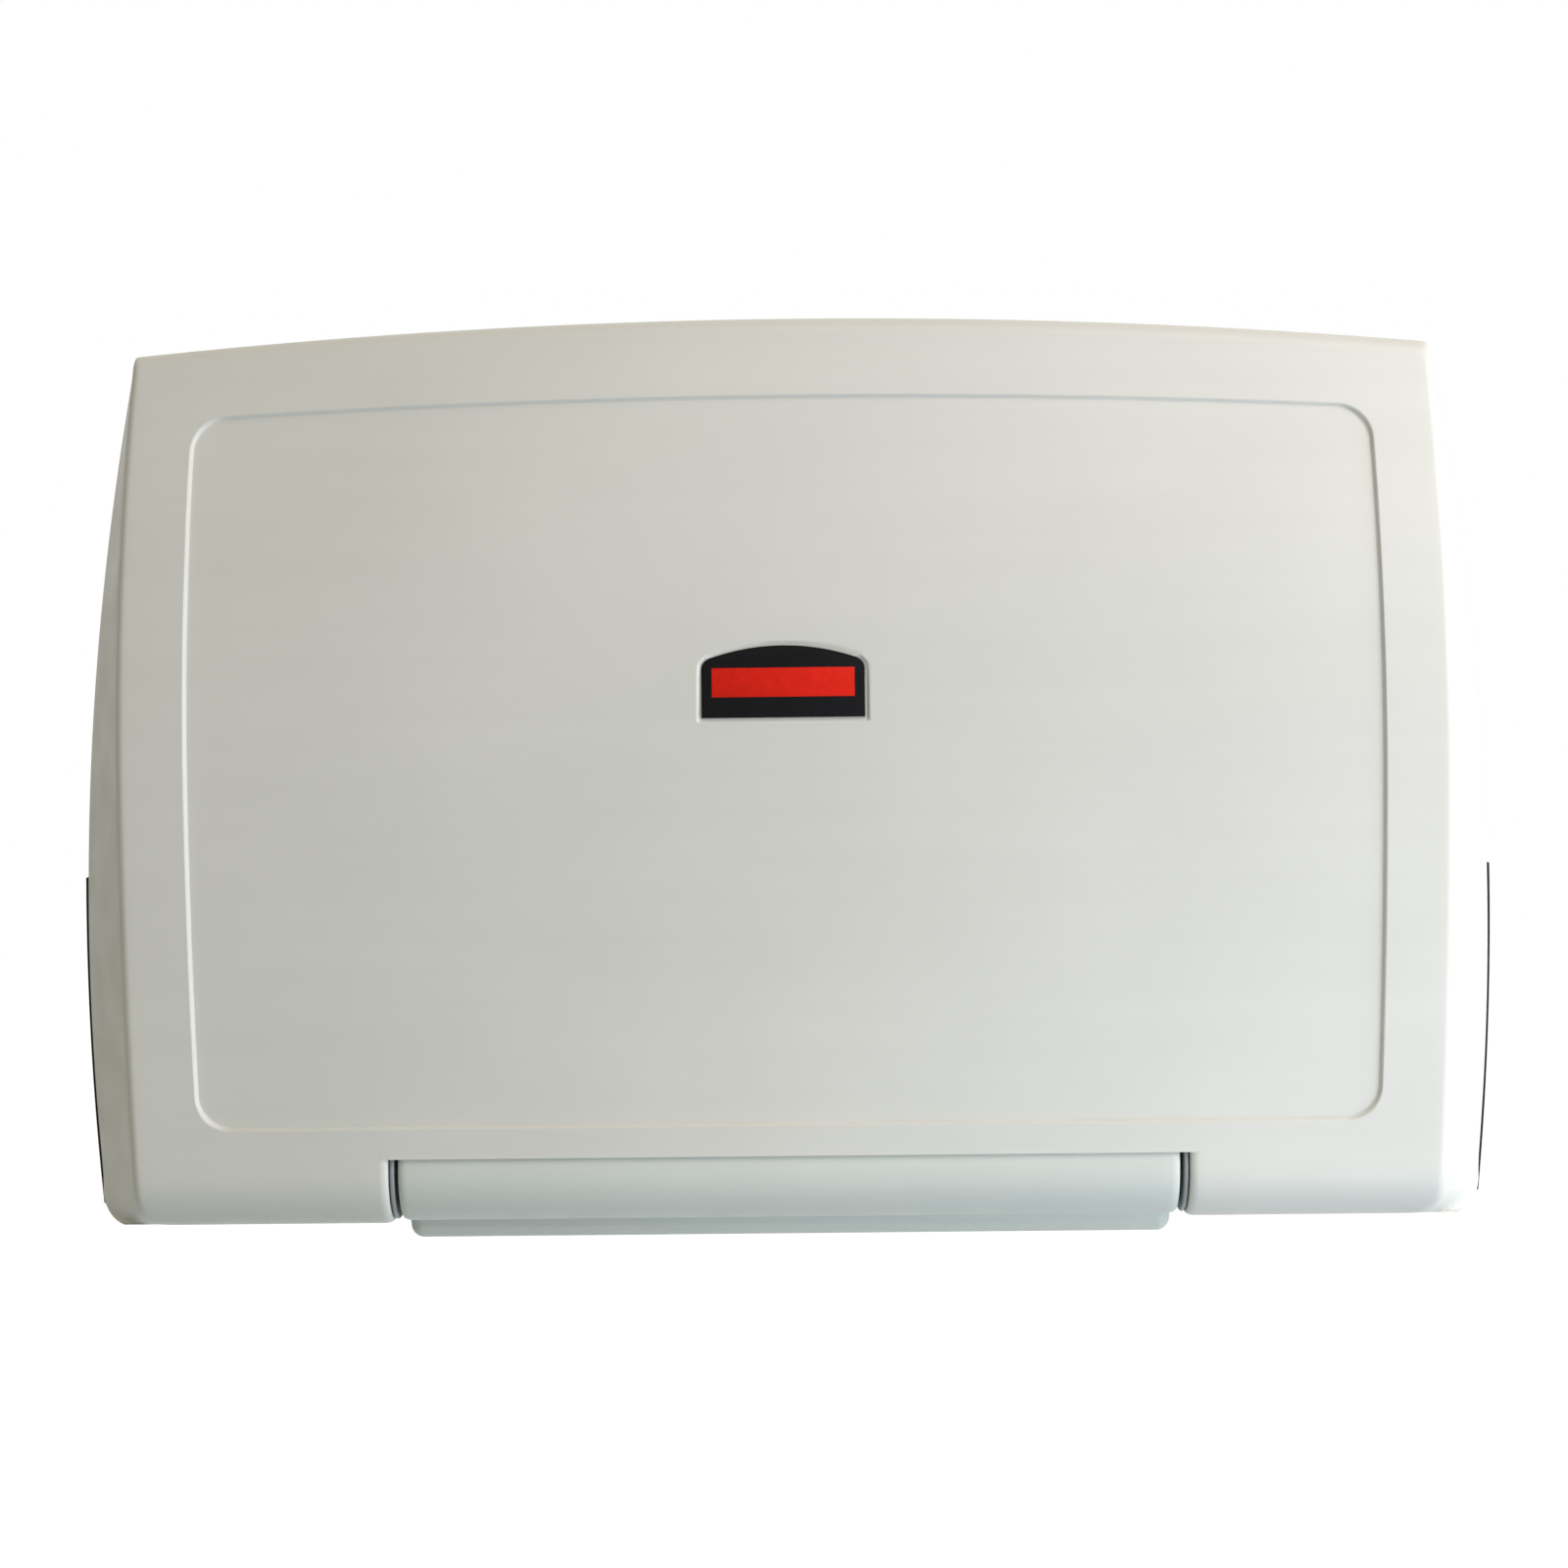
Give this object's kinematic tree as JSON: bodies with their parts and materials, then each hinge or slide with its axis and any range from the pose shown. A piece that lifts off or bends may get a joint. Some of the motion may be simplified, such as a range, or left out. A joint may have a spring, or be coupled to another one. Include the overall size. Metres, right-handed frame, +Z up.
{
  "type": "wall-mounted baby changing station",
  "caption": "Fold-down baby changing station for a wall: moulded bed with a tray and belt, hinged on a rod in a wall panel with bag hooks, a liner pocket and gas springs.",
  "frame": {"origin": "on the wall plane, on the centreline, level with the hinge axis, at the back of the hinge rail", "axes": "+X to the right as seen from the room, +Y into the wall, +Z up; the bed is shut at rest"},
  "size_m": [0.844, 0.102, 0.5445],
  "materials": {
    "shell": "light warm grey moulded plastic, fine grain",
    "grey_plastic": "mid grey moulded plastic",
    "black_rubber": "matt black rubber",
    "nylon": "natural nylon",
    "black_plastic": "black moulded plastic",
    "button_red": "red moulded plastic",
    "badge": "black printed plate with a plain red band",
    "webbing": "dark woven webbing",
    "zinc_steel": "zinc plated steel",
    "polished_steel": "ground steel",
    "gas_black": "black painted steel"
  },
  "bodies": {
    "wall_unit": {"wall_panel": "shell", "hinge_rail": "zinc_steel", "hinge_rod": "polished_steel", "hinge_bracket_left": "zinc_steel", "hinge_bracket_centre": "zinc_steel", "hinge_bracket_right": "zinc_steel", "mounting_rail_left": "zinc_steel", "mounting_rail_right": "zinc_steel", "crank_disc_left": "zinc_steel", "crank_disc_right": "zinc_steel", "edge_strip_left": "black_rubber", "edge_strip_right": "black_rubber", "bag_hook_left": "grey_plastic", "bag_hook_right": "grey_plastic", "barrel_bush_left": "nylon", "barrel_bush_right": "nylon", "spacer_ring_left": "grey_plastic", "spacer_ring_right": "grey_plastic", "rod_clip_left": "zinc_steel", "rod_clip_right": "zinc_steel", "hook_screw_left": "zinc_steel", "hook_screw_right": "zinc_steel", "closing_bumper_left": "black_rubber", "closing_bumper_right": "black_rubber", "panel_screw_left_lower": "zinc_steel", "panel_screw_left_upper": "zinc_steel", "panel_screw_right_lower": "zinc_steel", "panel_screw_right_upper": "zinc_steel"},
    "liner_cover": {"liner_cover": "shell"},
    "bed": {"bed_outer_shell": "shell", "bed_tray": "shell", "badge_plate": "badge", "bed_cross_rail": "zinc_steel", "buckle_housing": "black_plastic", "buckle_tongue": "black_plastic", "hinge_arm_inner_left": "zinc_steel", "hinge_arm_inner_right": "zinc_steel", "hinge_arm_outer_left": "zinc_steel", "hinge_arm_outer_right": "zinc_steel", "arm_bush_inner_left": "nylon", "arm_bush_inner_right": "nylon", "arm_bush_outer_left": "nylon", "arm_bush_outer_right": "nylon", "stop_pin_left": "zinc_steel", "stop_pin_right": "zinc_steel", "gas_tube_left": "gas_black", "gas_tube_right": "gas_black", "gas_nut_left": "zinc_steel", "gas_nut_right": "zinc_steel", "belt_left": "webbing", "belt_right": "webbing", "belt_anchor_left": "black_plastic", "belt_anchor_right": "black_plastic", "tray_screw_left_lower": "zinc_steel", "tray_screw_left_upper": "zinc_steel", "tray_screw_right_lower": "zinc_steel", "tray_screw_right_upper": "zinc_steel"},
    "gas_rod_left": {"gas_rod_left": "polished_steel"},
    "gas_rod_right": {"gas_rod_right": "polished_steel"},
    "buckle_button": {"buckle_button": "button_red"}
  },
  "joints": [
    {"name": "bed_fold", "type": "hinge", "parent": "wall_unit", "child": "bed", "pos_m": [0, -0.069, 0], "axis": [1, 0, 0], "range_deg": [0, 90], "stiffness_Nm_per_rad": 1.5, "springref_deg": -171.89},
    {"name": "gas_rod_left_slide", "type": "slide", "parent": "bed", "child": "gas_rod_left", "axis": [0, 0, 1], "range_m": [0, 0.026]},
    {"name": "gas_rod_right_slide", "type": "slide", "parent": "bed", "child": "gas_rod_right", "axis": [0, 0, 1], "range_m": [0, 0.026]},
    {"name": "liner_cover_lift", "type": "slide", "parent": "wall_unit", "child": "liner_cover", "axis": [0, 0, 1], "range_m": [0, 0.013]},
    {"name": "buckle_press", "type": "slide", "parent": "bed", "child": "buckle_button", "axis": [0, -1, 0], "range_m": [0, 0.002], "stiffness_N_per_m": 400}
  ],
  "couplings": [
    {"joint": "gas_rod_left_slide", "follows": "bed_fold", "m_per_rad": 0.016488},
    {"joint": "gas_rod_right_slide", "follows": "bed_fold", "m_per_rad": 0.016488}
  ]
}
